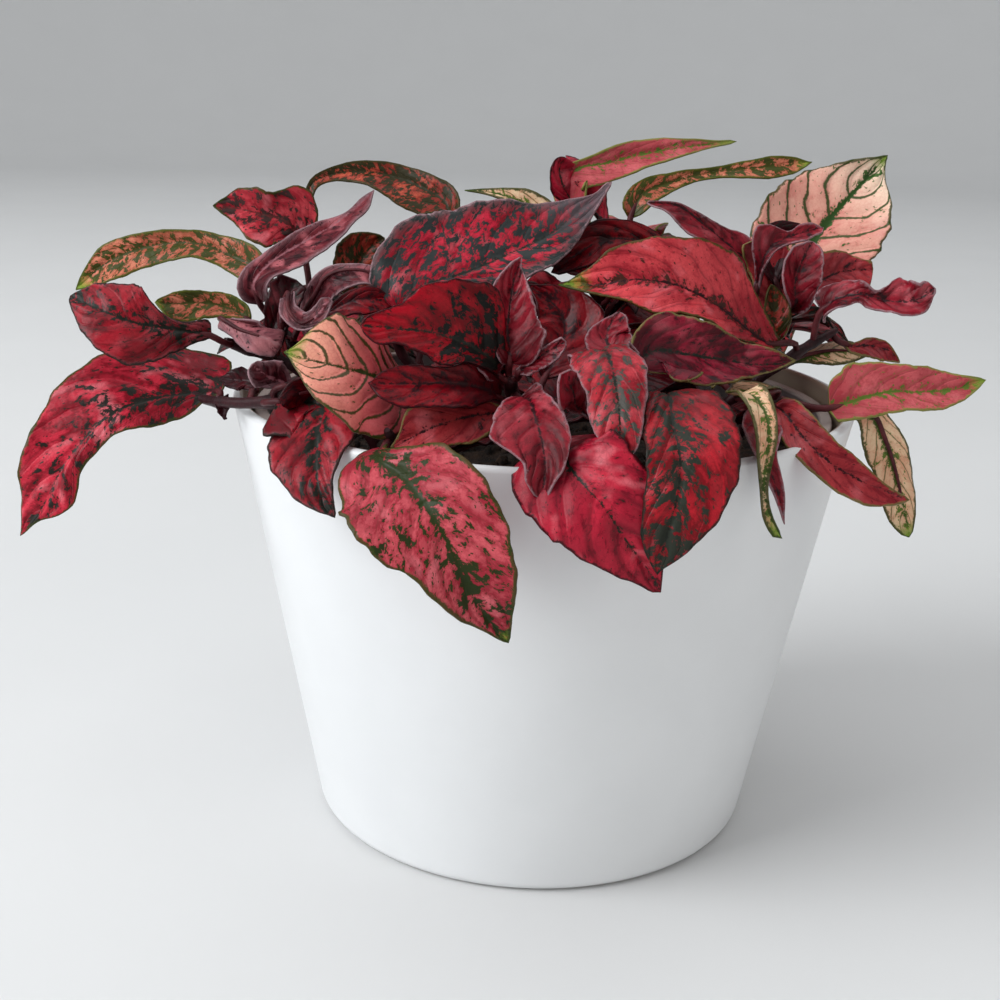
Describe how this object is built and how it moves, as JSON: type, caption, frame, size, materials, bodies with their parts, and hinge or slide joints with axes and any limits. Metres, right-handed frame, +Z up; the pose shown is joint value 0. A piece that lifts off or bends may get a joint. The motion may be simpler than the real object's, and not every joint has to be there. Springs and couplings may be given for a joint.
{
  "type": "potted polka dot plant",
  "caption": "Low bushy house plant with red, pink and green mottled leaves, spilling over the rim of a plain white tapered pot.",
  "frame": {"origin": "centre of the cover pot's flat underside", "axes": "+Z up along the pot's axis, -Y to the plant's front, +X to its right side as seen from the front"},
  "size_m": [0.205, 0.1681, 0.1547],
  "materials": {
    "cover_pot": "satin white, plain",
    "nursery_pot": "thin moulded, mauve-grey inside",
    "soil": "crumbly dark potting soil",
    "stems": "smooth dark maroon plant stem",
    "leaf_red": "satin leaf, bright red with a thin dark midrib",
    "leaf_mottled": "satin leaf, red with dark green blotches along the midrib",
    "leaf_crimson": "satin leaf, deep crimson with darker veins and edge",
    "leaf_pink": "satin leaf, pink with a green midrib and fine green edge",
    "leaf_pale": "satin leaf, pale pink to cream with green veins and tip",
    "leaf_salmon": "satin leaf, salmon to olive, mottled",
    "leaf_mauve": "satin leaf, mauve back with a crimson face",
    "leaf_magenta": "satin leaf, dark magenta"
  },
  "bodies": {
    "root": {"cover_pot": "cover_pot", "nursery_pot": "nursery_pot", "soil": "soil", "stem_left": "stems", "stem_left_middle": "stems", "stem_left_back": "stems", "stem_centre_left": "stems", "stem_centre": "stems", "stem_front_left": "stems", "stem_front_right": "stems", "stem_back": "stems", "stem_back_left": "stems", "stem_back_right": "stems", "stem_right_back": "stems", "stem_right": "stems", "stem_right_front": "stems", "leaf_front_red": "leaf_red", "leaf_right_broad": "leaf_red", "leaf_centre_hanging": "leaf_red", "leaf_right_low": "leaf_red", "leaf_back_middle": "leaf_red", "leaf_back_right": "leaf_red", "leaf_left_long": "leaf_mottled", "leaf_left_round": "leaf_mottled", "leaf_centre_large": "leaf_mottled", "leaf_front_crested": "leaf_mottled", "leaf_front_mottled": "leaf_mottled", "leaf_back_low": "leaf_mottled", "leaf_back_left": "leaf_mottled", "leaf_back_right_low": "leaf_mottled", "leaf_centre_crimson": "leaf_crimson", "leaf_centre_low": "leaf_crimson", "leaf_centre_dark": "leaf_crimson", "leaf_centre_back": "leaf_crimson", "leaf_front_left": "leaf_crimson", "leaf_right_arched": "leaf_crimson", "leaf_right_maroon": "leaf_crimson", "leaf_back_left_low": "leaf_crimson", "leaf_left_upper": "leaf_pink", "leaf_front_pink": "leaf_pink", "leaf_right_long": "leaf_pink", "leaf_top_tall": "leaf_pink", "leaf_back_upper": "leaf_pink", "leaf_front_pale": "leaf_pale", "leaf_right_pale": "leaf_pale", "leaf_right_trailing": "leaf_pale", "leaf_right_ribbon": "leaf_pale", "leaf_top_cream": "leaf_pale", "leaf_left_salmon": "leaf_salmon", "leaf_left_arched": "leaf_salmon", "leaf_left_inner": "leaf_salmon", "leaf_top_arched": "leaf_salmon", "leaf_right_salmon": "leaf_salmon", "leaf_top_slender": "leaf_salmon", "leaf_left_folded": "leaf_mauve", "leaf_left_pointed": "leaf_mauve", "leaf_left_curled": "leaf_mauve", "leaf_centre_upright": "leaf_magenta", "leaf_front_magenta": "leaf_magenta", "leaf_right_ruffled": "leaf_magenta"}
  },
  "joints": []
}
